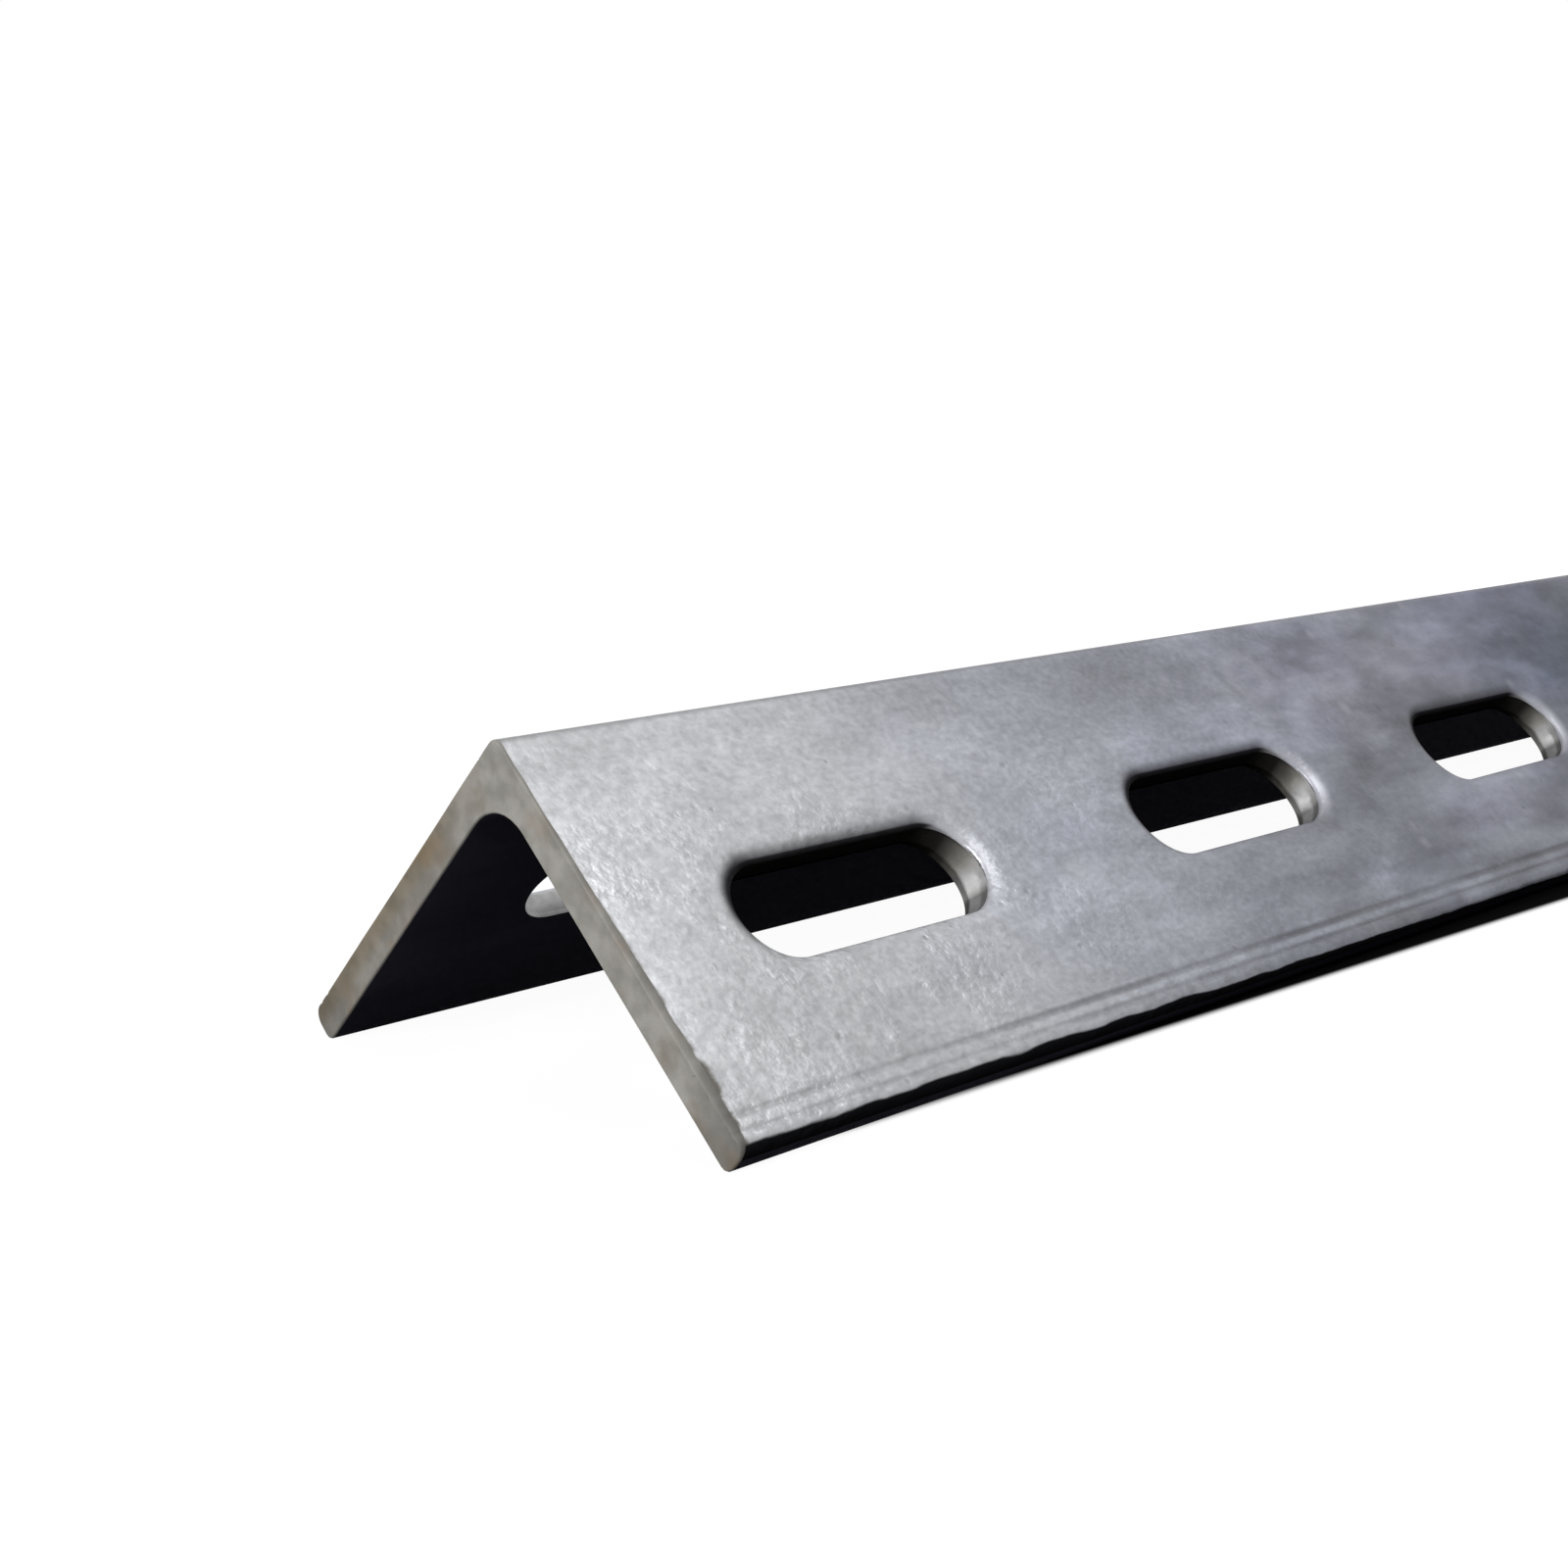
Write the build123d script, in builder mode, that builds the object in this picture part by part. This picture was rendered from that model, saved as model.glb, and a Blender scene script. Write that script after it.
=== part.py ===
"""A three foot bar of punched steel angle, lying heel up on its two toes.

The bar runs along X. Its legs slope down from the heel at 45 degrees to either side,
and the origin is on the floor under the middle of the bar. All sizes are millimetres.
"""

from build123d import *
import math
import os

# The rolled bar
bar_length = 914.4
leg_width = 38.1
thickness = 3.175
root_radius = 4.2
heel_radius = 1.2
toe_outer_radius = 1.2
toe_inner_radius = 0.8

# The punched slots, alike in both legs; the cuts lie a little out of step with the punch
slot_length = 28.0
slot_width = 9.0
slot_pitch = 50.8
slot_end_margin = 25.4
row_shift = 1.0
heel_to_slot = 19.9
slot_rollover = 1.0

# The toes touch the floor at the lowest point of their inner rounding
slope = math.sqrt(0.5)
heel_height = (leg_width + thickness - 2 * toe_inner_radius) * slope + toe_inner_radius

slot_spaces = int(round((bar_length - 2 * slot_end_margin) / slot_pitch, 6))
slot_stations = [
    slot_end_margin + row_shift + slot_pitch * number - bar_length / 2
    for number in range(slot_spaces + 1)
]


def outer_face(side):
    """The outer face of one leg: its Y runs from the heel to the toe, its Z points out."""
    return Plane(origin=(0, 0, heel_height), x_dir=(side, 0, 0), z_dir=(0, side, 1))


def section_plane():
    """The bar's end, with its X along the leg on the -Y side and its Y along the other leg."""
    return Plane(
        origin=(-bar_length / 2, 0, heel_height), x_dir=(0, -1, -1), z_dir=(1, 0, 0)
    )


# Each corner of the section, with its rounding, from the heel round the -Y leg's toe
corners = [
    ((0, 0), heel_radius),
    ((leg_width, 0), toe_outer_radius),
    ((leg_width, thickness), toe_inner_radius),
    ((thickness, thickness), root_radius),
    ((thickness, leg_width), toe_inner_radius),
    ((0, leg_width), toe_outer_radius),
]

with BuildPart() as slotted_angle:
    with BuildSketch(section_plane()):
        with BuildLine():
            FilletPolyline(
                *[point for point, _ in corners],
                radius=[radius for _, radius in corners],
                close=True,
            )
        make_face()
    extrude(amount=bar_length)

    for side in (-1, 1):
        face = outer_face(side)
        places = [(side * station, heel_to_slot) for station in slot_stations]
        with BuildSketch(face):
            with Locations(*places):
                SlotOverall(slot_length, slot_width)
        extrude(amount=-thickness, mode=Mode.SUBTRACT)

        # The punch went in from outside and drew the edge down round each slot
        outward = Axis(face.origin, face.z_dir)
        rims = slotted_angle.edges(Select.LAST).group_by(outward)[-1]
        fillet(rims, radius=slot_rollover)

slotted_angle.part.label = "slotted_angle"

os.makedirs("parts", exist_ok=True)
export_step(slotted_angle.part, "parts/slotted_angle.step")
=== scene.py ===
"""The looks of a bar of punched steel angle, lying heel up on its two toes.

The bar runs along X. A place in its section is given by p and q, in millimetres: p runs
from the sharp heel down the front leg (-Y) and q down the back leg (+Y), so the front
leg's outer face is q = 0 and the back leg's is p = 0. On either leg, s is the way down
from the heel and n the way in from the outer face.
"""

import math
import random
from collections import namedtuple
from types import SimpleNamespace

import bpy
import bmesh
from mathutils import Matrix, Vector, geometry, noise


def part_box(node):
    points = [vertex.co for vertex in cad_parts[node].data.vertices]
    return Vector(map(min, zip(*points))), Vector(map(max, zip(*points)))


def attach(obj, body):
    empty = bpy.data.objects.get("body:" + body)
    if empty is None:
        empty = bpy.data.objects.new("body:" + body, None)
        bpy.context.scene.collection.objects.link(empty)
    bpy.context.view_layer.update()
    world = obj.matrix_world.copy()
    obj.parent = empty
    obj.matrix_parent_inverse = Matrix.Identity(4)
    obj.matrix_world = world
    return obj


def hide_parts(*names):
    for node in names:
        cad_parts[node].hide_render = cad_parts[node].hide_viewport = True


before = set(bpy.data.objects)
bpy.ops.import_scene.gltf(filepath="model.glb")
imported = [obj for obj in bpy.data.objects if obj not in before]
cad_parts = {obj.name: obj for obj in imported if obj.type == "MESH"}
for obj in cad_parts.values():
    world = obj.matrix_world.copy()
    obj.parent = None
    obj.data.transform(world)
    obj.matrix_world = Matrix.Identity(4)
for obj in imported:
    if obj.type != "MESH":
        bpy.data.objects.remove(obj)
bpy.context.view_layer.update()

MM = 0.001
NODE = "slotted_angle"
FRONT, BACK = -1, 1
# The finishes: rolled steel, scale that is near-black partly as painted shade, cut ends and slot walls
STEEL, SCALE_AND_SHADE, CUT, WALL = range(4)

# The rolled section and its slots, in millimetres
leg_width = 38.1
thickness = 3.175
root_radius = 4.2
heel_radius = 1.2
toe_outer_radius = 1.2
toe_inner_radius = 0.8
slot_length = 28.0
slot_width = 9.0
slot_pitch = 50.8
slot_end_margin = 25.4
row_shift = 1.0
heel_to_slot = 19.9

slope = math.sqrt(0.5)
heel_height = (leg_width + thickness - 2 * toe_inner_radius) * slope + toe_inner_radius
node_low, node_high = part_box(NODE)
bar_length = (node_high[0] - node_low[0]) / MM
near_end, far_end = -bar_length / 2, bar_length / 2
root_start = thickness + root_radius
slot_count = int(round((bar_length - 2 * slot_end_margin) / slot_pitch, 6)) + 1
slot_radius = slot_width / 2
slot_straight = (slot_length - slot_width) / 2

# What the punch, the rolls and the shears left, in millimetres
rollover_width = 1.7
rollover_power = 2.0
rollover_depth = 0.46
rim_round = 0.26
dish_depth = 0.12
dish_reach = 4.6
fracture_start = 2.7
fracture_flare = 0.16
land_waves = 0.01
torn_waves = 0.05
lean_start = 0.8
exit_lean = 1.4
face_wave = 0.03
groove_places = (35.15, 36.5)
groove_width = 0.2
groove_depth = 0.08
heel_line_place = 3.1
heel_line_depth = 0.05
end_round = 0.2
drag_reach = 0.45
drag_depth = 0.18
end_blend = 3.5
cut_waves = 0.05
cut_scores = 0.02

# How far the front toe's outer edge is worn back, and the share of it on the back toe
toe_wear_reach = 1.7
toe_wear = 0.12
toe_steps = 0.07
toe_chips = 0.05
back_toe_share = 0.4

# Soft marks on the front leg: the way from the near end, the way down, the reach each way
slate_patch = (162.0, 13.0, 36.0, 11.0)
dull_patch = (115.0, 10.0, 44.0, 11.0)
streak_patch = (82.0, 31.5, 13.0, 4.5)
pale_patch = (118.0, 28.0, 20.0, 6.0)
ring_mark = (93.0, 7.0)
ring_radius = 4.2
ring_width = 1.5

# How the rolled steel changes on the way from the near end: it darkens at first, partly its own
# bluer tone and partly painted shade for the light falling off along the bar, and is a little
# paler again further on
darkening_reach = 165.0
paler_again = (190.0, 320.0)
PALE_STEEL = (0.48, 0.485, 0.50)
BLUE_STEEL = (0.134, 0.138, 0.162)
FAR_STEEL = (0.30, 0.31, 0.335)

# Where on a cut end the front leg's looks give way to the back leg's, across the bar
back_leg_start = (1.0, 10.0)

# The range that a noise between 0 and 1 seldom leaves
usual_noise = (0.3, 0.7)

# The painted contact shadow on the floor beside the front toe
shadow_start = 10.0
shadow_reach = 200.0
shadow_width = 8.1
shadow_soft = 0.8
shadow_fade = (260.0, 340.0)

# The studio: half the floor's width, in metres, and the strength of the light from all sides
floor_size = 6.0
surround_light = 0.13

# How finely the mesh is divided: the first pitches of the bar are the ones seen closely
panel_top, panel_bottom, panel_rows = 8.2, 31.2, 16
near_pitches = 3
near_columns, far_columns = 64, 16
end_grid = 0.55
sharp_angle = 38

# The rings round a slot, as shares of the way over its rolled edge, the dish round that, the
# rest of the outer face and the inner face
Rings = namedtuple("Rings", "edge dish outer inner")
near_rings = Rings(
    edge=(0.01, 0.03, 0.06, 0.1, 0.15, 0.21, 0.3, 0.45, 0.62, 0.8, 1.0),
    dish=(0.25, 0.5, 0.75, 1.0),
    outer=(0.3, 0.65, 1.0),
    inner=(0.0, 0.08, 0.4, 1.0),
)
far_rings = Rings(
    edge=(0.03, 0.1, 0.21, 0.5, 1.0), dish=(0.5, 1.0), outer=(1.0,), inner=(0.0, 0.3, 1.0)
)

# Where a shaded point lies on the bar, in metres
Spot = namedtuple("Spot", "along across down inward from_near")


def wave(x, y, seed):
    """Smooth noise between -1 and 1."""
    return noise.noise(Vector((x, y, seed)))


def smooth(low, high, value):
    """0 below low, 1 above high and a smooth rise in between."""
    t = min(max((value - low) / (high - low), 0.0), 1.0)
    return t * t * (3 - 2 * t)


def on_leg(side, s, n):
    """The p and q of a place on a leg."""
    return (s, n) if side == FRONT else (n, s)


def from_section(p, q):
    """The leg that a place in the section is on, with its s and n."""
    return (FRONT, p, q) if p > q else (BACK, q, p)


class Shell:
    """A closed mesh put together from points that neighbouring patches share."""

    def __init__(self):
        self.index = {}
        self.places = []
        self.faces = []
        self.finishes = []

    def point(self, key, place):
        """The number of the point known by key, which is put at place (x, p, q) when it is new."""
        key = tuple(round(value, 3) for value in key)
        if key not in self.index:
            x, p, q = place
            self.index[key] = len(self.places)
            self.places.append((x * MM, slope * (q - p) * MM, (heel_height - slope * (p + q)) * MM))
        return self.index[key]

    def face(self, corners, finish):
        self.faces.append(corners)
        self.finishes.append(finish)

    def bridge(self, first, second, finish, closed=False):
        """Quads between two rows of as many points."""
        count = len(first)
        for k in range(count if closed else count - 1):
            after = (k + 1) % count
            self.face((first[k], first[after], second[after], second[k]), finish)


def rolling_marks(x, s, side):
    """How far an outer face lies below its true plane."""
    dip = face_wave * (1 + wave(x / 21, s / 9, 3.1 * side))
    for place in groove_places:
        across = (s - place) / groove_width
        dip += groove_depth * (1 + 0.35 * wave(x / 6, place, side)) * math.exp(-across * across)
    across = (s - heel_line_place) / groove_width
    fade = 1 - smooth(near_end + 40, near_end + 90, x)
    return dip + heel_line_depth * fade * (1 + wave(x / 15, 0.0, side)) * math.exp(-across * across)


def toe_back(x, s, n, side):
    """How far a toe's outer edge is worn back towards the heel, in short uneven steps."""
    start = leg_width - toe_wear_reach
    if s < start:
        return 0.0
    steps = math.tanh(3 * wave(x / 4.5, 7.0 * side, 1.3))
    wear = toe_wear + toe_steps * steps + toe_chips * wave(x / 1.3, 7.0 * side, 9.4)
    wear *= 1 if side == FRONT else back_toe_share
    return wear * smooth(start, leg_width - 1.0, s) * (1 - smooth(0.6, 1.5, n))


def end_wear(side, s, n, end):
    """How far the rim of a cut end is drawn back along the bar, and how far into the steel.

    The shear dragged the front leg's outer edge with it, more and more towards the toe."""
    uneven = 0.5 + 0.5 * wave(s / 1.9, n / 2.5, 4.4 * end) + 0.25 * wave(s / 0.7, n, 6.1)
    drag = smooth(1, 30, s) * (1 - smooth(0.2, 1.4, n)) * (1 - 0.6 * smooth(36, 38, s))
    drag *= 1 if side == FRONT else 0
    pull = end_round * (0.7 + 0.6 * uneven) + drag_reach * drag * (0.75 + 0.5 * uneven)
    return pull, end_round + drag_depth * drag


def surface_point(shell, x, p, q, out_p, out_q, sink=0.0):
    """A point of the rolled surface, with its wear; out_p, out_q is the way out of the steel."""
    side, s, n = from_section(p, q)
    depth = sink
    if n < 1e-6:
        depth += rolling_marks(x, s, side)
    back_p, back_q = on_leg(side, toe_back(x, s, n, side), 0.0)
    end = near_end if x < 0 else far_end
    from_end = abs(x - end)
    pull = 0.0
    if from_end < end_blend:
        pull = end_wear(side, s, n, end)[0] * (1 - from_end / end_blend) ** 2
    moved = (x + math.copysign(pull, -end), p - out_p * depth - back_p, q - out_q * depth - back_q)
    return shell.point((x, p, q), moved)


def around(value, step, count):
    """Places to either side of a mark, close enough to carry its shape."""
    return [value + step * k for k in range(-count, count + 1)]


def leg_rows():
    """Where the rows of the outer and the inner face lie, from the heel down."""
    heel_rows = [heel_radius, 2.0, *around(heel_line_place, groove_width, 1), 4.6, 6.2]
    panel = [
        panel_top + (panel_bottom - panel_top) * k / panel_rows for k in range(panel_rows + 1)
    ]
    toe_rows = [panel_bottom + 1.6]
    for place in groove_places:
        toe_rows += around(place, groove_width * 0.9, 2)
    outer = heel_rows + panel + toe_rows + [leg_width - toe_outer_radius]
    inner = [root_start] + panel + [33.8, 35.8, leg_width - toe_inner_radius]
    return outer, inner


def in_panel(*places):
    """Whether places down a leg all lie within the panels that hold the slots."""
    return min(places) > panel_top - 0.01 and max(places) < panel_bottom + 0.01


def outline():
    """The section's outline: rows of p, q, the way out, and the finish up to the next row.

    The finish is None where the next row lies across the panel that holds the slots."""
    outer, inner = leg_rows()
    rows = []

    def leg(side, places, outside):
        finish = STEEL if outside else SCALE_AND_SHADE
        out_p, out_q = on_leg(side, 0.0, -1.0 if outside else 1.0)
        for k, s in enumerate(places):
            p, q = on_leg(side, s, 0.0 if outside else thickness)
            within = in_panel(*places[k:k + 2])
            rows.append((p, q, out_p, out_q, None if within else finish))

    def arc(centre, radius, start, end, steps, finish, hollow=False):
        for k in range(1, steps):
            angle = math.radians(start + (end - start) * k / steps)
            u, v = math.cos(angle), math.sin(angle)
            sign = -1.0 if hollow else 1.0
            p, q = centre[0] + radius * u, centre[1] + radius * v
            rows.append((p, q, sign * u, sign * v, finish))

    def toe(side):
        """The toe from its outer to its inner rounding, or back again on the front leg.

        The outer rounding belongs to the outer face, whose paint turns to near-black scale and painted
        shade on it."""
        first = len(rows)
        mid = (toe_outer_radius + thickness - toe_inner_radius) / 2
        arc((toe_outer_radius, leg_width - toe_outer_radius), toe_outer_radius, 180, 90, 7, STEEL)
        for n in (toe_outer_radius, mid, thickness - toe_inner_radius):
            rows.append((n, leg_width, 0.0, 1.0, SCALE_AND_SHADE))
        inner_centre = (thickness - toe_inner_radius, leg_width - toe_inner_radius)
        arc(inner_centre, toe_inner_radius, 90, 0, 3, SCALE_AND_SHADE)
        if side == FRONT:
            places = [(q, p, out_q, out_p) for p, q, out_p, out_q, _ in reversed(rows[first:])]
            rows[first:] = [
                (*row, STEEL if row[1] < toe_outer_radius + 0.01 else SCALE_AND_SHADE) for row in places
            ]

    leg(BACK, outer, True)
    toe(BACK)
    leg(BACK, inner[::-1], False)
    arc((root_start, root_start), root_radius, 180, 270, 8, SCALE_AND_SHADE, hollow=True)
    leg(FRONT, inner, False)
    toe(FRONT)
    leg(FRONT, outer[::-1], True)
    arc((heel_radius, heel_radius), heel_radius, 270, 180, 5, STEEL)
    return rows


def columns_of(pitch_number):
    """The places along the bar of one pitch's columns."""
    count = near_columns if pitch_number < near_pitches else far_columns
    start = near_end + slot_pitch * pitch_number
    return [start + slot_pitch * k / count for k in range(count + 1)]


def roll_strips(shell, rows):
    """The whole rolled surface but for the panels round the slots."""
    for number in range(slot_count):
        xs = columns_of(number)
        lines = [[surface_point(shell, x, *row[:4]) for x in xs] for row in rows]
        for k, row in enumerate(rows):
            if row[4] is not None:
                shell.bridge(lines[k], lines[(k + 1) % len(rows)], row[4])


def panel_rim(xs):
    """The edge of a panel as x and s, once round."""
    step = (panel_bottom - panel_top) / panel_rows
    down = [panel_top + step * k for k in range(panel_rows + 1)]
    rim = [(x, panel_top) for x in xs[:-1]]
    rim += [(xs[-1], s) for s in down[:-1]]
    rim += [(x, panel_bottom) for x in reversed(xs[1:])]
    return rim + [(xs[0], s) for s in reversed(down[1:])]


def slot_sink(gap, depth, width):
    """How far the punch drew the face down at a distance from the slot's edge."""
    sink = dish_depth * max(1 - gap / dish_reach, 0.0) ** 2
    sink += depth * max(1 - gap / width, 0.0) ** rollover_power
    if gap < rim_round:
        reach = 1 - gap / rim_round
        sink += rim_round * (1 - math.sqrt(1 - reach * reach))
    return sink


def punch_slot(shell, number, side, chance):
    """One slot with the faces round it: rolled-over edge, smooth land, torn lower wall."""
    shares = near_rings if number < near_pitches else far_rings
    middle = near_end + slot_end_margin + row_shift + slot_pitch * number
    depth = rollover_depth * chance.uniform(0.92, 1.08)
    width = rollover_width * chance.uniform(0.94, 1.06)
    seed = 11.0 * number + side

    rays = []
    for x, s in panel_rim(columns_of(number)):
        across = x - middle
        core = min(max(across, -slot_straight), slot_straight)
        run = math.hypot(across - core, s - heel_to_slot)
        rays.append((core, (across - core) / run, (s - heel_to_slot) / run, run - slot_radius))

    def place(ray, gap):
        core, u, v, _ = ray
        return middle + core + u * (slot_radius + gap), heel_to_slot + v * (slot_radius + gap)

    def lean(ray, n):
        """How far the wall slopes in at a depth, at the slot's end away from the near end."""
        return exit_lean * max(ray[1], 0.0) * max(n - lean_start, 0.0) / (thickness - lean_start)

    def outer_ring(gaps):
        ring = []
        for ray, gap in zip(rays, gaps):
            x, s = place(ray, gap)
            p, q = on_leg(side, s, 0.0)
            out_p, out_q = on_leg(side, 0.0, -1.0)
            ring.append(surface_point(shell, x, p, q, out_p, out_q, slot_sink(gap, depth, width)))
        return ring

    def deep_ring(n, flare, rough):
        ring = []
        for ray in rays:
            x, s = place(ray, 0.0)
            torn = flare + rough * wave(x / 1.1, s / 1.1, seed + n) - lean(ray, n)
            moved_x, moved_s = place(ray, torn)
            moved = (moved_x, *on_leg(side, moved_s, n))
            ring.append(shell.point((x, *on_leg(side, s, n)), moved))
        return ring

    def inner_ring(share):
        ring = []
        for ray in rays:
            x, s = place(ray, share * ray[3])
            if share == 1:
                out = on_leg(side, 0.0, 1.0)
                ring.append(surface_point(shell, x, *on_leg(side, s, thickness), *out))
                continue
            gap = share * ray[3] + (fracture_flare - lean(ray, thickness)) * (1 - share)
            moved_x, moved_s = place(ray, gap)
            moved = (moved_x, *on_leg(side, moved_s, thickness))
            ring.append(shell.point((x, *on_leg(side, s, thickness)), moved))
        return ring

    rings = [outer_ring([0.0] * len(rays))]
    for share in shares.edge:
        rings.append(outer_ring([share * width] * len(rays)))
    for share in shares.dish:
        rings.append(outer_ring([width + share * (dish_reach - width)] * len(rays)))
    for share in shares.outer:
        rings.append(outer_ring([dish_reach + share * (ray[3] - dish_reach) for ray in rays]))
    for first, second in zip(rings, rings[1:]):
        shell.bridge(first, second, STEEL, closed=True)

    land = [depth + dish_depth + rim_round + 0.3, fracture_start - 0.12]
    torn = [fracture_start + step for step in (0.03, 0.14, 0.3)]
    walls = [rings[0]]
    walls += [deep_ring(n, 0.0, land_waves) for n in land]
    walls += [deep_ring(n, fracture_flare * 0.6, torn_waves) for n in torn]
    exits = [inner_ring(share) for share in shares.inner]
    walls.append(exits[0])
    for first, second in zip(walls, walls[1:]):
        shell.bridge(first, second, WALL, closed=True)
    for first, second in zip(exits, exits[1:]):
        shell.bridge(first, second, SCALE_AND_SHADE, closed=True)


def cut_end(shell, rows, end):
    """One cut end: its rim rounded over, and a face with the marks of the cut."""
    inward = math.copysign(1.0, -end)
    rim = [surface_point(shell, end, *row[:4]) for row in rows]
    rings = [rim]
    for turn in (22, 45, 68, 90):
        ring = []
        for p, q, out_p, out_q, _ in rows:
            side, s, n = from_section(p, q)
            pull, inset = end_wear(side, s, n, end)
            pull *= 1 - math.sin(math.radians(turn))
            inset *= 1 - math.cos(math.radians(turn))
            back_p, back_q = on_leg(side, toe_back(end, s, n, side), 0.0)
            marks = rolling_marks(end, s, side) if n < 1e-6 else 0.0
            moved_p = p - out_p * (inset + marks) - back_p
            moved_q = q - out_q * (inset + marks) - back_q
            key = (end + inward * turn / 1000, p, q)  # one of its own for each turn
            ring.append(shell.point(key, (end + inward * pull, moved_p, moved_q)))
        rings.append(ring)
    for first, second in zip(rings, rings[1:]):
        shell.bridge(first, second, CUT, closed=True)

    edge = [Vector(shell.places[k][1:]) / MM for k in rings[-1]]
    inside = [Vector((slope * (q - p), heel_height - slope * (p + q))) for p, q in end_places()]
    loop = [(k, (k + 1) % len(edge)) for k in range(len(edge))]
    flat, _, triangles, *_ = geometry.delaunay_2d_cdt(edge + inside, loop, [], 1, 1e-5)
    numbers = list(rings[-1])
    for y, z in flat[len(edge):]:
        relief = cut_waves * (1 + wave(y / 2.3, z / 2.3, end))
        relief += cut_scores * (1 + wave(y / 0.8, z / 0.8, 2.0))
        numbers.append(len(shell.places))
        shell.places.append(((end + inward * relief) * MM, y * MM, z * MM))
    for corners in triangles:
        shell.face(tuple(numbers[k] for k in corners), CUT)


def end_places():
    """A staggered grid of places on the cut face, clear of its rim."""
    clear = end_round + drag_depth + 0.1
    places = []
    steps = int(leg_width / end_grid)
    layers = int((thickness - 2 * clear) / end_grid) + 1
    for side in (FRONT, BACK):
        for k in range(steps):
            for layer in range(layers + 1):
                s = clear + end_grid * (k + 0.5 * (layer % 2))
                n = clear + (thickness - 2 * clear) * layer / layers
                too_near_toe = s > leg_width - 1.0
                too_near_heel = s < heel_radius or (side == BACK and s < thickness)
                if not (too_near_toe or too_near_heel):
                    places.append(on_leg(side, s, n))
    return places


def put_in_scene(name, data):
    """A new object of a mesh, a lamp or a camera."""
    made = bpy.data.objects.new(name, data)
    bpy.context.scene.collection.objects.link(made)
    return made


def build_bar():
    """The whole bar as one mesh object, with its four finishes."""
    shell = Shell()
    rows = outline()
    roll_strips(shell, rows)
    chance = random.Random(38)
    for number in range(slot_count):
        for side in (FRONT, BACK):
            punch_slot(shell, number, side, chance)
    for end in (near_end, far_end):
        cut_end(shell, rows, end)

    mesh = bpy.data.meshes.new("punched_angle")
    mesh.from_pydata(shell.places, [], shell.faces)
    mesh.polygons.foreach_set("material_index", shell.finishes)
    work = bmesh.new()
    work.from_mesh(mesh)
    bmesh.ops.recalc_face_normals(work, faces=work.faces)
    work.to_mesh(mesh)
    work.free()
    mesh.shade_smooth()
    mesh.set_sharp_from_angle(angle=math.radians(sharp_angle))
    return put_in_scene("punched_angle", mesh)


def feed(tree, node, sockets):
    """Gives each named socket of a node its value or its link."""
    for name, value in sockets.items():
        if isinstance(value, bpy.types.NodeSocket):
            tree.links.new(value, node.inputs[name])
        else:
            node.inputs[name].default_value = value


def add_node(tree, kind, sockets=None, **settings):
    """A node with its settings and its sockets, each given a value or a link."""
    made = tree.nodes.new(kind)
    for name, value in settings.items():
        setattr(made, name, value)
    feed(tree, made, sockets or {})
    return made


def empty_tree(owner):
    """The node tree of a material or a world, with no nodes in it yet."""
    owner.use_nodes = True
    owner.node_tree.nodes.clear()
    return owner.node_tree


def calculate(tree, operation, first, second=0.0, clamp=False):
    sockets = {0: first, 1: second}
    made = add_node(tree, "ShaderNodeMath", sockets, operation=operation, use_clamp=clamp)
    return made.outputs[0]


def plus(tree, first, second):
    return calculate(tree, "ADD", first, second)


def minus(tree, first, second):
    return calculate(tree, "SUBTRACT", first, second)


def times(tree, first, *others):
    for other in others:
        first = calculate(tree, "MULTIPLY", first, other)
    return first


def apart(tree, first, second):
    """How far two values are apart, whichever is the larger."""
    return calculate(tree, "ABSOLUTE", minus(tree, first, second))


def hypotenuse(tree, first, second):
    squares = [times(tree, value, value) for value in (first, second)]
    return calculate(tree, "SQRT", plus(tree, *squares))


def blend(tree, share, first, second, how="MIX"):
    """Two colours mixed, each a socket or its parts of red, green and blue."""
    colours = [
        colour if isinstance(colour, bpy.types.NodeSocket) else (*colour, 1.0)
        for colour in (first, second)
    ]
    sockets = {0: share, 6: colours[0], 7: colours[1]}
    made = add_node(tree, "ShaderNodeMix", sockets, data_type="RGBA", blend_type=how)
    return made.outputs[2]


def tint(tree, tone, colour, share=1.0):
    """A tone multiplied by a colour, all over or as far as share says."""
    return blend(tree, share, tone, colour, how="MULTIPLY")


def grey(tree, value):
    """A colour whose three parts are one value."""
    return add_node(tree, "ShaderNodeCombineColor", {0: value, 1: value, 2: value}).outputs[0]


def remap(tree, value, low, high, new_low=0.0, new_high=1.0, kind="SMOOTHSTEP"):
    """A change from new_low to new_high while a value goes from low to high."""
    sockets = {"Value": value, "From Min": low, "From Max": high}
    sockets.update({"To Min": new_low, "To Max": new_high})
    return add_node(tree, "ShaderNodeMapRange", sockets, interpolation_type=kind).outputs["Result"]


def ease(tree, length, start, end, first=0.0, last=1.0):
    """A smooth change from first to last while a length goes from start to end millimetres."""
    return remap(tree, length, start * MM, end * MM, first, last)


def grain(tree, place, size, detail=2.0, roughness=0.5, stretch=1.0, seed=0.0):
    """Noise with features of about size millimetres, stretch times as long along the bar."""
    sockets = {"Vector": place, "Location": (seed, seed * 0.7, seed * 1.3), "Scale": (1 / stretch, 1, 1)}
    where = add_node(tree, "ShaderNodeMapping", sockets).outputs["Vector"]
    settings = {"Vector": where, "Scale": 1 / (size * MM), "Detail": detail, "Roughness": roughness}
    return add_node(tree, "ShaderNodeTexNoise", settings).outputs["Fac"]


def swing(tree, noise_value, reach):
    """A noise as a length to either side of nothing, of a whole reach in millimetres."""
    return times(tree, minus(tree, noise_value, 0.5), reach * MM)


def shade(tree, tone, noise_value, low, high):
    """A tone made darker or lighter by a noise."""
    factor = remap(tree, noise_value, *usual_noise, low, high, kind="LINEAR")
    return tint(tree, tone, grey(tree, factor))


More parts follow.
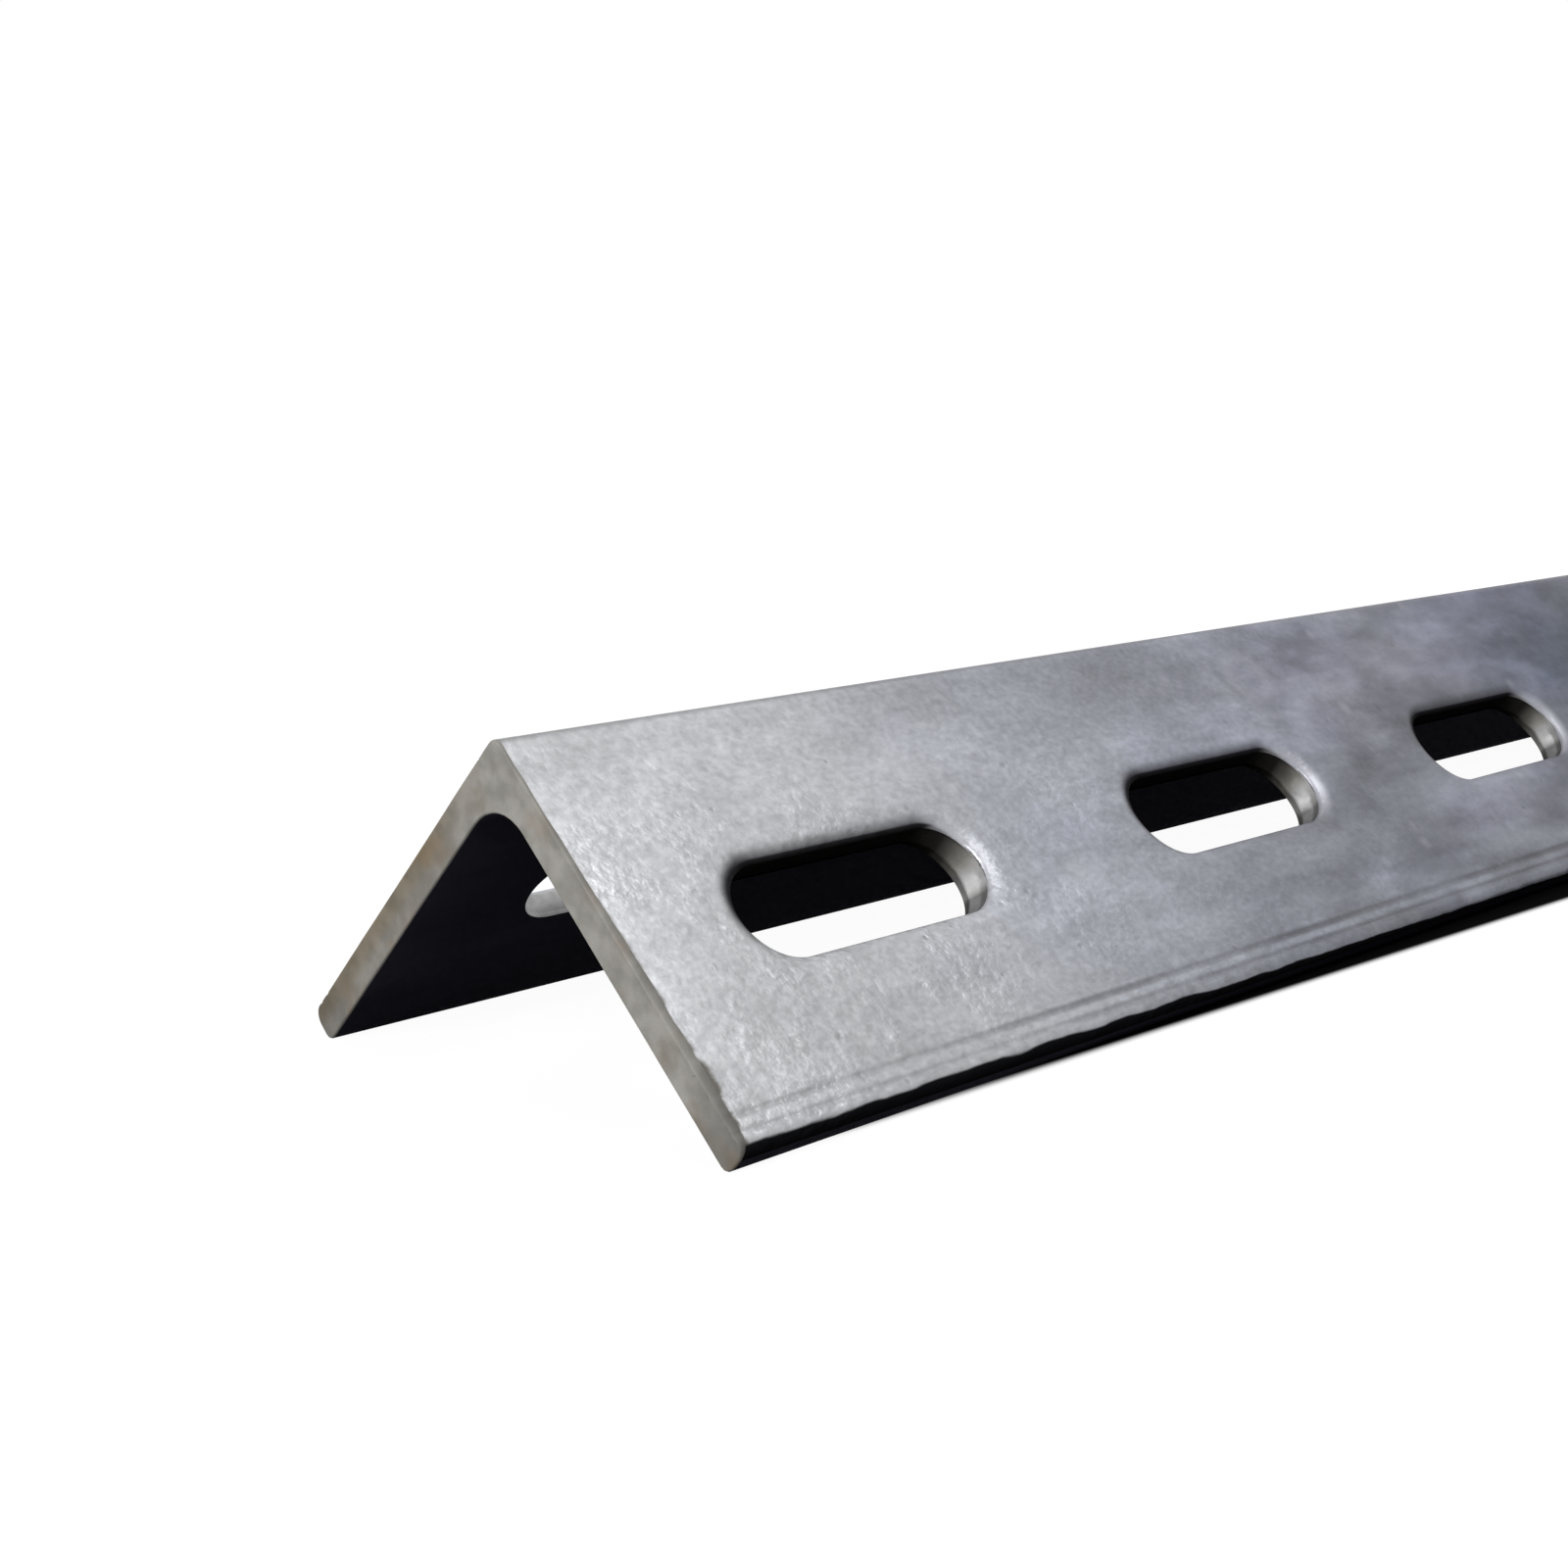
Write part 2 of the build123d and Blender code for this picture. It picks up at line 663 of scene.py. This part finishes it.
def pits_in(tree, place, spacing, share, seed):
    """Round dimples about spacing millimetres apart: 1 in their middles, 0 between them."""
    where = add_node(tree, "ShaderNodeMapping", {"Vector": place, "Location": (seed, seed, seed)})
    sockets = {"Vector": where.outputs["Vector"], "Scale": 1 / (spacing * MM), "Randomness": 1.0}
    cells = add_node(tree, "ShaderNodeTexVoronoi", sockets)
    pick = add_node(tree, "ShaderNodeSeparateColor", {0: cells.outputs["Color"]})
    chosen = calculate(tree, "LESS_THAN", pick.outputs[0], share)
    reach = remap(tree, pick.outputs[1], 0.0, 1.0, 0.14, 0.32, kind="LINEAR")
    outward = calculate(tree, "DIVIDE", cells.outputs["Distance"], reach)
    inside = calculate(tree, "SUBTRACT", 1.0, outward, clamp=True)
    return times(tree, chosen, remap(tree, inside, 0.0, 1.0))


def new_material(name):
    """A material with its shader, its tree and the place in the bar's frame."""
    material = bpy.data.materials.new(name)
    tree = empty_tree(material)
    shader = add_node(tree, "ShaderNodeBsdfPrincipled")
    add_node(tree, "ShaderNodeOutputMaterial", {"Surface": shader.outputs["BSDF"]})
    place = add_node(tree, "ShaderNodeTexCoord").outputs["Object"]
    return material, shader, tree, place


def set_bump(tree, shader, height, distance):
    """Relief in which a height of 1 stands for a distance in millimetres."""
    sockets = {"Height": height, "Distance": distance * MM, "Strength": 1.0}
    bump = add_node(tree, "ShaderNodeBump", sockets)
    feed(tree, shader, {"Normal": bump.outputs["Normal"]})


def facing(tree):
    """The X, Y and Z of the way that a surface faces."""
    normal = add_node(tree, "ShaderNodeNewGeometry").outputs["Normal"]
    return add_node(tree, "ShaderNodeSeparateXYZ", {0: normal}).outputs


def spot_on_bar(tree, place):
    """Where a point lies, in metres: along and across the bar, down from the heel, in from the
    outer face, and on from the near end."""
    sides = add_node(tree, "ShaderNodeSeparateXYZ", {0: place}).outputs
    spread = calculate(tree, "ABSOLUTE", sides["Y"])
    drop = minus(tree, heel_height * MM, sides["Z"])
    down = times(tree, plus(tree, drop, spread), slope)
    inward = times(tree, minus(tree, drop, spread), slope)
    from_near = minus(tree, sides["X"], near_end * MM)
    return Spot(sides["X"], sides["Y"], down, inward, from_near)


def on_front_leg(tree, spot):
    """1 on the front leg, 0 on the back one."""
    return calculate(tree, "LESS_THAN", spot.across, 0.0)


def rolled_noises(tree, place):
    """The noises of the rolled faces, from the largest features to the smallest."""
    return SimpleNamespace(
        patches=grain(tree, place, 28, detail=3, stretch=1.8, seed=4.0),
        tints=grain(tree, place, 16, detail=2, stretch=1.3, seed=15.0),
        clouds=grain(tree, place, 10, detail=4, roughness=0.6, stretch=2.2, seed=5.0),
        crowds=grain(tree, place, 9, detail=2, seed=25.0),
        dirt=grain(tree, place, 6, detail=3, stretch=2, seed=17.0),
        blotches=grain(tree, place, 4.2, detail=3, roughness=0.55, stretch=2.0, seed=18.0),
        painted_glints=pits_in(tree, place, 4.2, 0.3, 21.0),
        mottle=grain(tree, place, 1.8, detail=3, stretch=2.2, seed=19.0),
        dimples=pits_in(tree, place, 1.8, 0.22, 6.0),
        steps=grain(tree, place, 1.6, stretch=3, seed=16.0),
        streaks=grain(tree, place, 1.1, detail=3, stretch=26, seed=1.0),
        pebble=grain(tree, place, 1.0, detail=2, seed=2.0),
        fleck=grain(tree, place, 0.5, detail=1, stretch=1.5, seed=3.0),
    )


def broad_tone(tree, spot, noises):
    """How dark the steel is at a place, partly its own tone and partly painted shade, and its tone
    before any grain.
    """
    reach = plus(tree, spot.from_near, swing(tree, noises.patches, 90))
    dark = remap(tree, reach, 0.0, darkening_reach * MM, kind="LINEAR")
    later = times(tree, ease(tree, reach, *paler_again), 0.75)
    tone = blend(tree, dark, PALE_STEEL, BLUE_STEEL)
    tone = blend(tree, later, tone, FAR_STEEL)

    lower = times(tree, ease(tree, spot.down, 10, 31), ease(tree, spot.from_near, 30, 75))
    tone = tint(tree, tone, (0.76, 0.76, 0.76), lower)
    by_heel = times(tree, ease(tree, spot.down, 3, 8, 1.0, 0.0), ease(tree, spot.from_near, 20, 50))
    tone = tint(tree, tone, (0.85, 0.85, 0.85), by_heel)
    tone = tint(tree, tone, (0.965, 0.985, 1.05), ease(tree, spot.from_near, 20, 60))
    return dark, shade(tree, tone, noises.patches, 0.86, 1.13)


def grainy_tone(tree, tone, noises, dark):
    """Clouds where the steel is dark, pebbles where it is pale, and streaks all along."""
    cloudy = shade(tree, tone, noises.clouds, 0.62, 1.36)
    cloudy = shade(tree, cloudy, noises.blotches, 0.78, 1.24)
    cloudy = shade(tree, cloudy, noises.mottle, 0.90, 1.10)
    tone = blend(tree, remap(tree, dark, 0.15, 0.7, 0.25, 1.0), tone, cloudy)
    cooled = times(tree, remap(tree, noises.tints, 0.45, 0.6), dark)
    tone = tint(tree, tone, (0.98, 0.98, 1.07), cooled)
    pebbled = shade(tree, tone, noises.pebble, 0.92, 1.07)
    pebbled = shade(tree, pebbled, noises.fleck, 0.90, 1.08)
    tone = blend(tree, remap(tree, dark, 0.3, 0.9, 1.0, 0.25), tone, pebbled)
    return shade(tree, tone, noises.streaks, 0.98, 1.02)


def painted_toe_light(tree, tone, spot):
    """Two strips of painted light along the toe: above its grooves, and between them."""
    above = times(tree, ease(tree, spot.down, 31.5, 33), ease(tree, spot.from_near, 86, 100))
    above = times(tree, above, ease(tree, spot.down, 33.8, 35.6, 1.0, 0.1))
    tone = tint(tree, tone, (1.40, 1.40, 1.40), above)
    off_middle = apart(tree, spot.down, sum(groove_places) / 2 * MM)
    between = ease(tree, off_middle, 0.1, 0.5, 1.0, 0.0)
    between = times(tree, between, ease(tree, spot.from_near, 30, 70))
    return tint(tree, tone, (1.2, 1.2, 1.2), between)


def spread_from(tree, spot, centre, reach=(1.0, 1.0)):
    """The distance on a leg from a mark's centre, as a share of its reach each way."""
    beside = minus(tree, spot.from_near, centre[0] * MM)
    below = minus(tree, spot.down, centre[1] * MM)
    beside = calculate(tree, "DIVIDE", beside, reach[0] * MM)
    below = calculate(tree, "DIVIDE", below, reach[1] * MM)
    return hypotenuse(tree, beside, below)


def soft_marks(tree, tone, spot, noises):
    """A slate patch, a dull one, a streak, a pale patch and a faint ring, with uneven edges."""
    ragged = times(tree, minus(tree, noises.clouds, 0.5), 1.1)
    marks = (
        (slate_patch, (0.50, 0.56, 0.60)),
        (dull_patch, (0.80, 0.79, 0.80)),
        (streak_patch, (0.72, 0.72, 0.73)),
        (pale_patch, (1.18, 1.17, 1.22)),
    )
    for (x, s, wide, high), colour in marks:
        spread = plus(tree, spread_from(tree, spot, (x, s), (wide, high)), ragged)
        tone = tint(tree, tone, colour, remap(tree, spread, 0.25, 1.0, 1.0, 0.0))

    spread = plus(tree, spread_from(tree, spot, ring_mark), ragged)
    # Each band of the ring has its radius, its strength and its grey
    bands = ((ring_radius, 0.13, 0.07), (ring_radius - ring_width, 0.12, 0.42))
    for radius, strength, value in bands:
        beside = apart(tree, spread, radius)
        share = remap(tree, beside, 0.1, ring_width, strength, 0.0)
        tone = blend(tree, share, tone, (value, value, value * 1.06))
    return tone


def dirty_grooves(tree, tone, spot, noises):
    """Dirt in the grooves by each toe, more of it away from the near end."""
    uneven = remap(tree, noises.dirt, 0.35, 0.65, 0.16, 0.40)
    uneven = times(tree, uneven, ease(tree, spot.from_near, 10, 60, 0.7, 1.5))
    for groove, share in zip(groove_places, (1.0, 0.75)):
        beside = apart(tree, spot.down, groove * MM)
        dirt = times(tree, ease(tree, beside, 0.1, 0.55, share, 0.0), uneven)
        tone = blend(tree, dirt, tone, (0.05, 0.05, 0.055))
    return tone


def slot_rims(tree, tone, spot):
    """How much painted shade lies on each place of the slots' drawn-down edges, and the tone with it.

    They have painted shade on the side towards the near end and the heel, and a painted highlight on
    the far side, but for their very edge, which is darker."""
    turned = facing(tree)
    by_slots = times(tree, ease(tree, spot.down, 8.5, 9.5), ease(tree, spot.down, 31, 32, 1.0, 0.0))
    lean = minus(tree, turned["Z"], turned["X"])
    # Painted shade where the drawn-down edges face down or away from the near end
    painted_rim_shade = times(tree, remap(tree, lean, 0.66, 0.12, 0.0, 0.97), by_slots)
    tone = blend(tree, painted_rim_shade, tone, (0.015, 0.014, 0.016))
    # Painted highlight where they face the near end
    least_tilt = ease(tree, spot.from_near, 45, 70, -0.2, -0.04)
    painted_rim_highlight = times(tree, remap(tree, turned["X"], least_tilt, -0.42, 0.0, 0.5), by_slots)
    tone = blend(tree, painted_rim_highlight, tone, (0.46, 0.46, 0.49))
    edge = times(tree, remap(tree, turned["X"], -0.84, -0.95, 0.0, 0.85), by_slots)
    return painted_rim_shade, blend(tree, edge, tone, (0.045, 0.043, 0.04))


def shade_beside_ends(tree, tone, spot, noises):
    """How much painted shade lies on each place beside the sheared ends, and the tone with it.

    Its edge follows the dragged rim, and is the more ragged the nearer it is to the toe."""
    to_end = minus(tree, bar_length / 2 * MM, calculate(tree, "ABSOLUTE", spot.along))
    drawn = ease(tree, spot.down, 1, 30, 0.0, drag_reach * MM)
    to_rim = minus(tree, to_end, times(tree, drawn, on_front_leg(tree, spot)))
    chips = ease(tree, spot.down, 20, 36, 0.8 * MM, 2.4 * MM)
    chips = times(tree, minus(tree, noises.mottle, 0.5), chips)
    to_rim = plus(tree, to_rim, plus(tree, swing(tree, noises.clouds, 1.2), chips))
    # Painted shade beside the ends
    end_shade = ease(tree, to_rim, 0.1, 0.7, 1.0, 0.0)
    end_shade = times(tree, end_shade, ease(tree, spot.down, 12, 26, 0.25, 1.0))
    return end_shade, blend(tree, end_shade, tone, (0.14, 0.13, 0.115))


def toe_scale_and_shade(tree, tone, spot, noises):
    """How much near-black scale and painted shade is on each place of a toe, and the tone with it.

    They start at an uneven line on the toe's outer rounding."""
    line = ease(tree, spot.from_near, 20, 150, 0.1 * MM, 0.8 * MM)
    past_line = minus(tree, plus(tree, spot.inward, swing(tree, noises.steps, 0.3)), line)
    at_toe = ease(tree, spot.down, leg_width - 1.0, leg_width - 0.7)
    scale_and_toe_shade = times(tree, ease(tree, past_line, 0.0, 0.15), at_toe)
    return scale_and_toe_shade, blend(tree, scale_and_toe_shade, tone, (0.012, 0.012, 0.014))


def rolled_relief(tree, spot, noises, dark):
    """Pebbles and dimples, in crowds and mostly at the near end, and streaks all along."""
    crowd = remap(tree, noises.crowds, 0.42, 0.60, 0.35, 1.0)
    crowd = times(tree, crowd, ease(tree, spot.down, 5, 17, 0.35, 1.0))
    calm = remap(tree, dark, 0.15, 0.85, 1.0, 0.3)
    relief = plus(tree, noises.pebble, times(tree, noises.fleck, 0.3))
    relief = minus(tree, relief, times(tree, noises.dimples, 0.5))
    relief = times(tree, relief, times(tree, calm, crowd))
    return plus(tree, relief, times(tree, noises.streaks, 0.05))


def rolled_steel():
    """The outer faces: pale and pebbled at the near end, darker (partly painted shade), bluer and
    smoother further on.
    """
    material, shader, tree, place = new_material("rolled_steel")
    spot = spot_on_bar(tree, place)
    noises = rolled_noises(tree, place)

    dark, tone = broad_tone(tree, spot, noises)
    tone = grainy_tone(tree, tone, noises, dark)
    tone = painted_toe_light(tree, tone, spot)
    marked = soft_marks(tree, tone, spot, noises)
    tone = blend(tree, on_front_leg(tree, spot), tone, marked)
    # Painted glints: small pale specks
    tone = blend(tree, times(tree, noises.painted_glints, 0.22), tone, (0.55, 0.55, 0.58))
    # Painted shade in the dimples
    tone = blend(tree, times(tree, noises.dimples, 0.36), tone, (0.10, 0.10, 0.105))
    tone = dirty_grooves(tree, tone, spot, noises)
    painted_rim_shade, tone = slot_rims(tree, tone, spot)
    # Painted shade along the heel's rounding
    heel_shade = ease(tree, spot.down, 0.4, 1.1, 0.55, 0.0)
    tone = blend(tree, heel_shade, tone, (0.10, 0.10, 0.11))
    end_shade, tone = shade_beside_ends(tree, tone, spot, noises)
    scale_and_toe_shade, tone = toe_scale_and_shade(tree, tone, spot, noises)

    # No sheen where the toe's scale and the painted shade lie
    dull = calculate(tree, "MAXIMUM", scale_and_toe_shade, painted_rim_shade)
    rough = remap(tree, noises.pebble, 0.2, 0.8, 0.38, 0.46)
    feed(tree, shader, {
        "Base Color": tone,
        "Specular IOR Level": remap(tree, dull, 0.0, 1.0, 0.2, 0.0),
        "Metallic": remap(tree, dull, 0.0, 1.0, 0.5, 0.0),
        "Roughness": plus(tree, rough, times(tree, end_shade, 0.3)),
    })
    set_bump(tree, shader, rolled_relief(tree, spot, noises, dark), 0.20)
    return material


def scale_and_painted_shade():
    """Blue-black mill scale on the inner faces and the toes, made near-black partly as painted shade, a
    little paler at the near end.
    """
    material, shader, tree, place = new_material("scale_and_painted_shade")
    spot = spot_on_bar(tree, place)
    patches = grain(tree, place, 12, detail=4, stretch=3, seed=7.0)
    crust = grain(tree, place, 0.7, detail=3, seed=8.0)
    tone = blend(tree, remap(tree, patches, 0.35, 0.7), (0.023, 0.022, 0.032), (0.036, 0.034, 0.047))
    paler = ease(tree, spot.from_near, 20, 110, 1.8, 0.8)
    feed(tree, shader, {
        "Base Color": tint(tree, tone, grey(tree, paler)),
        "Specular IOR Level": 0.0012,
        "Roughness": remap(tree, crust, 0.3, 0.7, 0.55, 0.75),
    })
    set_bump(tree, shader, crust, 0.06)
    return material


def cut_end_steel():
    """The sheared ends: brown-grey, smeared, with warm spots, browner and duller on the back leg, with
    painted shade where the rim rounds over, and darker towards the toes.
    """
    material, shader, tree, place = new_material("cut_end")
    spot = spot_on_bar(tree, place)
    smears = grain(tree, place, 2.2, detail=3, seed=9.0)
    scores = grain(tree, place, 0.3, detail=2, seed=10.0)
    browner = grain(tree, place, 4, detail=3, seed=12.0)
    tone = blend(tree, remap(tree, smears, *usual_noise), (0.20, 0.192, 0.174), (0.29, 0.279, 0.258))

    by_outer_face = ease(tree, spot.inward, 0.8, 2.4, 1.0, 0.0)
    dulled = tint(tree, tone, (0.80, 0.79, 0.78))
    browned = tint(tree, tone, (0.66, 0.60, 0.50))
    on_back = blend(tree, by_outer_face, dulled, browned)
    tone = blend(tree, ease(tree, spot.across, *back_leg_start), tone, on_back)

    # Painted shade where the rim's rounding turns away from the end
    flatness = calculate(tree, "ABSOLUTE", facing(tree)["X"])
    at_toe = ease(tree, spot.across, *back_leg_start, 0.62, 0.75)
    painted_shading = remap(tree, flatness, 0.7, 0.995, 0.80, 1.0)
    painted_shading = times(tree, painted_shading, ease(tree, spot.down, 31.5, 35.5, 1.0, at_toe))
    tone = tint(tree, tone, grey(tree, painted_shading))
    strength = ease(tree, spot.across, *back_leg_start, 0.25, 0.5)
    spots = times(tree, remap(tree, browner, 0.55, 0.72), strength)
    feed(tree, shader, {
        "Base Color": blend(tree, spots, tone, (0.17, 0.12, 0.07)),
        "Specular IOR Level": 0.15,
        "Roughness": remap(tree, smears, 0.2, 0.8, 0.55, 0.75),
    })
    set_bump(tree, shader, plus(tree, smears, times(tree, scores, 0.3)), 0.07)
    return material


def punched_wall():
    """The walls of the slots: brown-grey where the punch slid.

    On the front leg they are nearly black where the steel tore, partly dark torn steel and partly
    painted shade, with a dark band near the top; and they have painted light and shade by the way they
    face, lightest where they face partly towards the heel, with a warmer tint where they face away from
    it."""
    material, shader, tree, place = new_material("punched_wall")
    spot = spot_on_bar(tree, place)
    smears = grain(tree, place, 1.8, detail=3, seed=9.0)
    scores = grain(tree, place, 0.2, detail=2, seed=10.0)
    on_front = on_front_leg(tree, spot)
    turned = facing(tree)
    to_heel = plus(tree, turned["Y"], turned["Z"])
    tone = blend(tree, remap(tree, smears, *usual_noise), (0.42, 0.415, 0.41), (0.60, 0.60, 0.61))

    depth = plus(tree, spot.inward, swing(tree, smears, 0.7))
    upper_line = ease(tree, depth, 1.2, 1.6, 0.85, 0.0)
    upper_line = times(tree, upper_line, remap(tree, to_heel, 0.0, 0.4, 0.05, 0.65))
    lower_line = ease(tree, depth, 2.4, 2.8, 0.0, 0.8)
    lines = times(tree, calculate(tree, "MAXIMUM", upper_line, lower_line), on_front)
    tone = blend(tree, lines, tone, (0.05, 0.048, 0.044))

    # Painted light and shade on the front leg's walls, by the way they face
    rise = remap(tree, to_heel, -0.9, 0.4, 0.17, 1.0, kind="LINEAR")
    lit = times(tree, rise, rise, remap(tree, to_heel, 0.48, 0.84, 1.0, 0.36))
    painted_shading = tint(tree, tone, grey(tree, lit))
    painted_shading = tint(tree, painted_shading, (1.0, 0.965, 0.87), remap(tree, to_heel, -0.3, 0.15, 1.0, 0.0))
    feed(tree, shader, {
        "Base Color": blend(tree, on_front, tone, painted_shading),
        "Specular IOR Level": 0.0,
        "Roughness": 0.6,
    })
    set_bump(tree, shader, plus(tree, smears, times(tree, scores, 0.5)), 0.07)
    return material


def rays_that_see(tree):
    """1 for the rays in which the white background shows: camera, glossy and transmission."""
    path = add_node(tree, "ShaderNodeLightPath").outputs
    seen = calculate(tree, "MAXIMUM", path["Is Camera Ray"], path["Is Glossy Ray"])
    return calculate(tree, "MAXIMUM", seen, path["Is Transmission Ray"])


def contact_shadow(tree, along, across):
    """1 on the floor close beside the front toe, in a strip that widens from the near end on and
    fades past the part that the photograph shows."""
    from_near = minus(tree, along, near_end * MM)
    toe_line = (leg_width - thickness) * slope * MM
    beside = minus(tree, times(tree, across, -1.0), toe_line)
    growth = (shadow_start * MM, shadow_reach * MM, 0.0, shadow_width * MM)
    width = remap(tree, from_near, *growth, kind="LINEAR")
    strip = ease(tree, minus(tree, beside, width), -shadow_soft, shadow_soft, 1.0, 0.0)
    strip = times(tree, strip, ease(tree, beside, -2, -1))
    started = ease(tree, from_near, shadow_start - 2, shadow_start + 4)
    return times(tree, strip, ease(tree, from_near, *shadow_fade, 1.0, 0.0), started)


def pale_floor():
    """Paint that looks white and still shows the bar's soft shadow near it, with a painted contact
    shadow beside the front toe.
    """
    material = bpy.data.materials.new("pale_floor")
    tree = empty_tree(material)
    seen = rays_that_see(tree)
    place = add_node(tree, "ShaderNodeTexCoord").outputs["Object"]
    sides = add_node(tree, "ShaderNodeSeparateXYZ", {0: place}).outputs
    shadow = contact_shadow(tree, sides["X"], sides["Y"])
    tone = blend(tree, seen, (0.08, 0.08, 0.08), (0.9, 0.9, 0.9))
    tone = blend(tree, shadow, tone, (0.004, 0.004, 0.004))
    paint = add_node(tree, "ShaderNodeBsdfDiffuse", {"Color": tone})
    glow = add_node(tree, "ShaderNodeEmission", {"Color": (1, 1, 1, 1), "Strength": 1.04})

    beyond_ends = minus(tree, calculate(tree, "ABSOLUTE", sides["X"]), bar_length / 2 * MM)
    beyond_ends = calculate(tree, "MAXIMUM", beyond_ends, 0.0)
    away = hypotenuse(tree, beyond_ends, sides["Y"])
    share = times(tree, ease(tree, away, 50, 450, 0.92, 1.0), seen, minus(tree, 1.0, shadow))
    mix = add_node(tree, "ShaderNodeMixShader", {0: share, 1: paint.outputs[0], 2: glow.outputs[0]})
    add_node(tree, "ShaderNodeOutputMaterial", {"Surface": mix.outputs[0]})
    return material


def studio_floor():
    """A wide floor to lie on, which is no part of the bar."""
    corners = [(x * floor_size, y * floor_size, 0) for x, y in ((-1, -1), (1, -1), (1, 1), (-1, 1))]
    mesh = bpy.data.meshes.new("floor")
    mesh.from_pydata(corners, [], [(0, 1, 2, 3)])
    mesh.materials.append(pale_floor())
    floor = put_in_scene("floor", mesh)


def studio_world():
    """A white surround to look at, and a soft grey light from all sides."""
    world = bpy.data.worlds.new("studio")
    tree = empty_tree(world)
    strength = remap(tree, rays_that_see(tree), 0.0, 1.0, surround_light, 1.0, kind="LINEAR")
    sky = add_node(tree, "ShaderNodeBackground", {"Color": (1, 1, 1, 1), "Strength": strength})
    add_node(tree, "ShaderNodeOutputWorld", {"Surface": sky.outputs[0]})
    bpy.context.scene.world = world


def softbox(name, place, target, size, power):
    """A lamp of a width and height in metres, at a place and turned to a target."""
    lamp = bpy.data.lights.new(name, "AREA")
    lamp.shape = "RECTANGLE"
    lamp.size, lamp.size_y = size
    lamp.energy = power
    holder = put_in_scene(name, lamp)
    holder.location = place
    holder.rotation_mode = "QUATERNION"
    holder.rotation_quaternion = (target - place).to_track_quat("-Z", "Y")
    return holder


def light_studio():
    """A soft key low at the near end, on the left, a weak panel above it and one along the rest."""
    studio_world()
    near = Vector((near_end * MM, 0, heel_height * MM))
    key_way = Vector((-0.92, -0.15, 0.36)).normalized()
    key_target = near + Vector((0.03, -0.01, 0))
    softbox("key", near + key_way * 0.50, key_target, size=(0.3, 0.3), power=3.2)
    over_way = Vector((0.18, -0.42, 0.88)).normalized()
    over_target = near + Vector((0.1, 0, 0))
    softbox("overhead", near + over_way * 0.9, over_target, size=(0.5, 0.4), power=3.05)
    far_place, far_target = Vector((0.2, 0.1, 0.34)), Vector((0.2, 0.0, 0.0))
    far_panel = softbox("far_panel", far_place, far_target, size=(0.5, 0.25), power=4.0)
    far_panel.visible_glossy = False


def place_camera():
    """The camera of the photograph, found by fitting the bar's edges and slots."""
    yaw, pitch, roll = (math.radians(angle) for angle in (44.571, 10.096, 1.029))
    from_heel = Vector((-104.23, -137.05, 26.11))
    focal_pixels, picture_pixels, sensor = 2326.3, 1600, 36.0

    level = math.cos(pitch)
    ahead = Vector((math.sin(yaw) * level, math.cos(yaw) * level, -math.sin(pitch)))
    right = ahead.cross(Vector((0, 0, 1))).normalized()
    down = ahead.cross(right)
    rolled_right = math.cos(roll) * right + math.sin(roll) * down
    rolled_down = -math.sin(roll) * right + math.cos(roll) * down
    turn = Matrix((rolled_right, -rolled_down, -ahead)).transposed()

    camera = bpy.data.cameras.new("camera")
    camera.sensor_width = sensor
    camera.lens = focal_pixels / picture_pixels * sensor
    camera.clip_start = 0.01
    holder = put_in_scene("camera", camera)
    holder.location = (Vector((near_end, 0, heel_height)) + from_heel) * MM
    holder.rotation_mode = "QUATERNION"
    holder.rotation_quaternion = turn.to_quaternion()
    bpy.context.scene.camera = holder


bar = build_bar()
for material in (rolled_steel(), scale_and_painted_shade(), cut_end_steel(), punched_wall()):
    bar.data.materials.append(material)
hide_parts(NODE)
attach(bar, "root")

studio_floor()
light_studio()
place_camera()
bpy.context.scene.view_settings.view_transform = "Standard"
